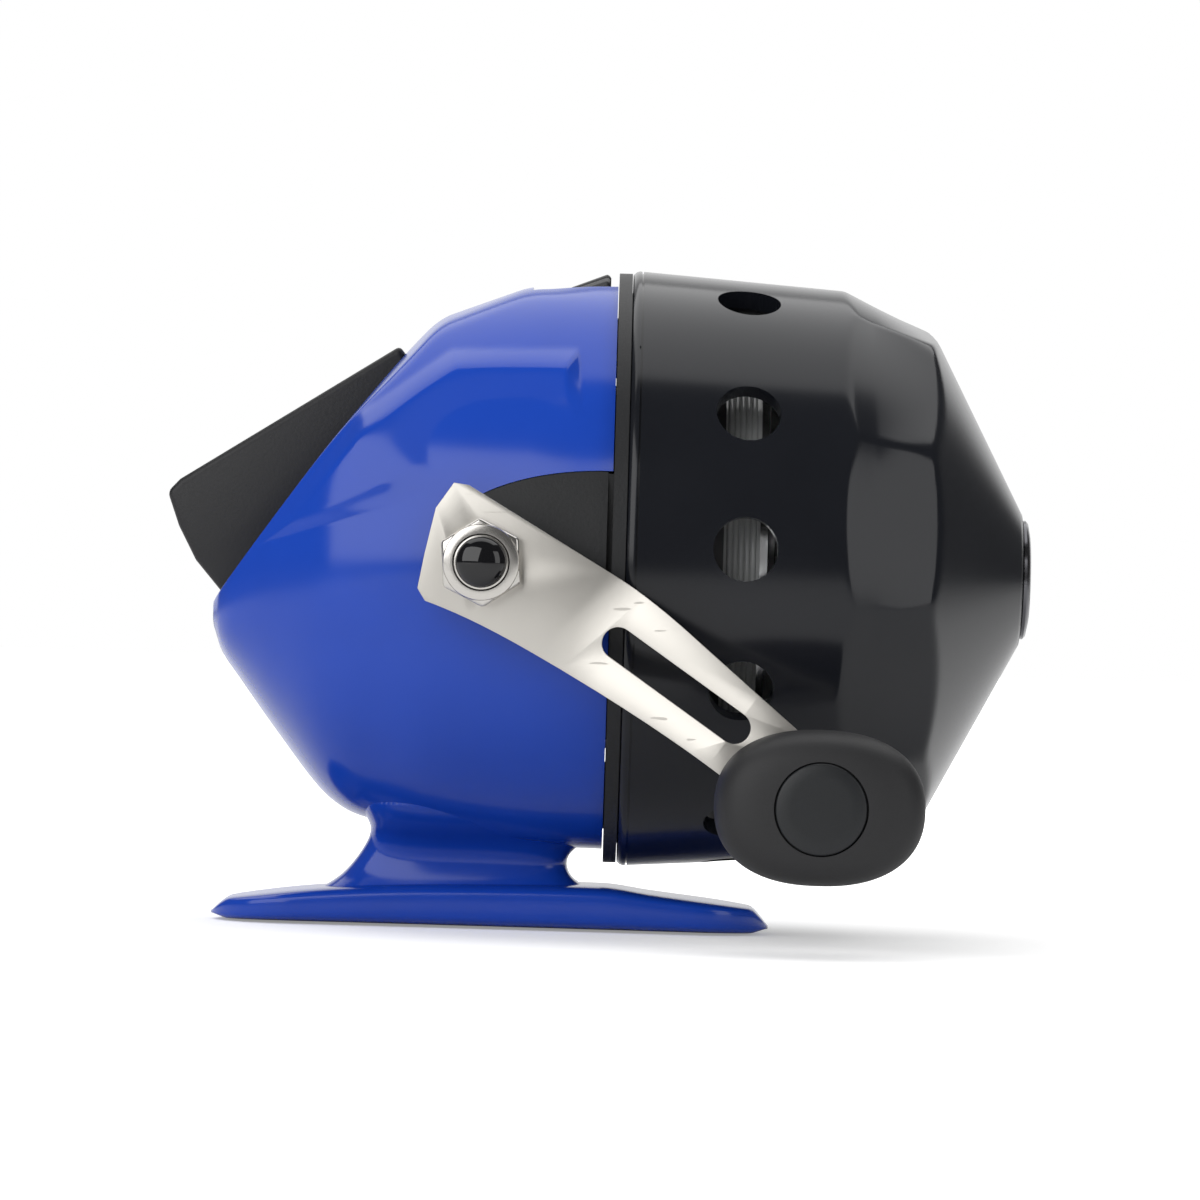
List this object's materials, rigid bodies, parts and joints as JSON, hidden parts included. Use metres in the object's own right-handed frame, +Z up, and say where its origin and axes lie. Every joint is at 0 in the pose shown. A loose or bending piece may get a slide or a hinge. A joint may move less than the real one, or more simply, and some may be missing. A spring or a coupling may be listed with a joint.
{
  "type": "spincast fishing reel",
  "caption": "Closed-face spincast reel with a foot for a rod seat, a rear thumb button, a bent crank handle with an oval knob, and a ported faceted front cover over a spool.",
  "frame": {"origin": "middle of the foot's flat underside, where the reel sits on the rod", "axes": "+X the way the line leaves along the rod, +Z up from the rod towards the reel, -Y the handle side"},
  "size_m": [0.0924, 0.0832, 0.0708],
  "materials": {
    "black_shell": "glossy",
    "blue_shell": "glossy",
    "brake_rubber": "matte",
    "brass": "machined",
    "bush_bronze": "sintered",
    "button_plastic": "fine matte grain",
    "cap_plastic": "natural acetal",
    "dial_plastic": "fine matte grain",
    "fishing_line": "clear monofilament",
    "flange_metal": "polished",
    "frame_plastic": "fine matte grain",
    "gear_metal": "die-cast zinc",
    "guide_metal": "polished dark",
    "knob_cap": "satin",
    "nickel_plate": "satin nickel",
    "nut_cap": "glossy",
    "nut_plate": "bright nickel",
    "shoe_plastic": "natural acetal",
    "soft_grip": "soft touch",
    "spinner_metal": "satin",
    "spool_plastic": "satin",
    "steel": "bright"
  },
  "bodies": {
    "reel_body": {"rear_cover": "blue_shell", "deck": "frame_plastic", "crank_bushings": "bush_bronze", "pinion_bushing": "bush_bronze", "shaft_bushing": "bush_bronze", "deck_screws": "steel", "pivot_pin": "steel", "pawl_pin": "steel", "spool_clip": "steel", "return_spring": "steel"},
    "front_cover": {"front_cover": "black_shell", "line_guide": "guide_metal", "brake_ring": "brake_rubber"},
    "crank": {"crankshaft": "steel", "drive_gear": "gear_metal", "ratchet": "steel", "arm_washer": "steel", "handle_arm": "nickel_plate", "handle_nut": "nut_plate", "nut_cap": "nut_cap", "knob_rivet": "steel"},
    "knob": {"knob": "soft_grip", "knob_cap": "knob_cap"},
    "pinion": {"pinion": "brass", "pinion_clip": "steel"},
    "shaft_thrust": {"thrust_cap": "cap_plastic"},
    "spinner": {"centre_shaft": "steel", "spinner": "spinner_metal", "spinner_nut": "steel"},
    "pickup_pin": {"pickup_pin": "steel"},
    "thumb_button": {"thumb_button": "button_plastic"},
    "spool": {"spool": "spool_plastic", "spool_flange": "flange_metal", "line_winding": "fishing_line"},
    "drag_dial": {"drag_dial": "dial_plastic"},
    "drag_shoe": {"drag_shoe": "shoe_plastic"},
    "pawl": {"pawl": "steel"}
  },
  "joints": [
    {"name": "cover_twist", "type": "hinge", "parent": "reel_body", "child": "front_cover", "pos_m": [0.012, 0, 0.0388], "axis": [-1, 0, 0], "range_deg": [0, 24]},
    {"name": "crank_turn", "type": "hinge", "parent": "reel_body", "child": "crank", "pos_m": [-0.0014, 0, 0.0388], "axis": [0, 1, 0], "continuous": true},
    {"name": "knob_turn", "type": "hinge", "parent": "crank", "child": "knob", "pos_m": [0.03375, -0.045, 0.01491], "axis": [0, 1, 0], "continuous": true},
    {"name": "pinion_turn", "type": "hinge", "parent": "reel_body", "child": "pinion", "pos_m": [0.012, 0, 0.0388], "axis": [1, 0, 0], "continuous": true},
    {"name": "shaft_push", "type": "slide", "parent": "reel_body", "child": "shaft_thrust", "axis": [1, 0, 0], "range_m": [0, 0.00419], "deforming": ["return_spring"]},
    {"name": "spinner_turn", "type": "hinge", "parent": "shaft_thrust", "child": "spinner", "pos_m": [0.012, 0, 0.0388], "axis": [1, 0, 0], "continuous": true},
    {"name": "pickup_slide", "type": "slide", "parent": "spinner", "child": "pickup_pin", "axis": [0, 0, -1], "range_m": [0, 0.0022]},
    {"name": "thumb_press", "type": "hinge", "parent": "reel_body", "child": "thumb_button", "pos_m": [-0.0106, 0, 0.0584], "axis": [0, -1, 0], "range_deg": [0, 12], "stiffness_Nm_per_rad": 0.45, "springref_deg": -14.32},
    {"name": "spool_turn", "type": "hinge", "parent": "reel_body", "child": "spool", "pos_m": [0.012, 0, 0.0388], "axis": [1, 0, 0], "continuous": true},
    {"name": "drag_adjust", "type": "hinge", "parent": "reel_body", "child": "drag_dial", "pos_m": [0.012, 0, 0.0618], "axis": [1, 0, 0], "range_deg": [-120, 120]},
    {"name": "drag_shoe_slide", "type": "slide", "parent": "reel_body", "child": "drag_shoe", "axis": [1, 0, 0], "range_m": [-0.0003, 0.0003]},
    {"name": "pawl_swing", "type": "hinge", "parent": "reel_body", "child": "pawl", "pos_m": [0.00855, 0, 0.04147], "axis": [0, -1, 0], "range_deg": [0, 8]}
  ],
  "couplings": [
    {"joint": "pinion_turn", "follows": "crank_turn", "ratio": 3.25},
    {"joint": "spinner_turn", "follows": "crank_turn", "ratio": 3.25},
    {"joint": "thumb_press", "follows": "shaft_push", "rad_per_m": 50},
    {"joint": "pickup_slide", "follows": "shaft_push", "ratio": 0.52},
    {"joint": "drag_shoe_slide", "follows": "drag_adjust", "m_per_rad": 0.0001431}
  ]
}
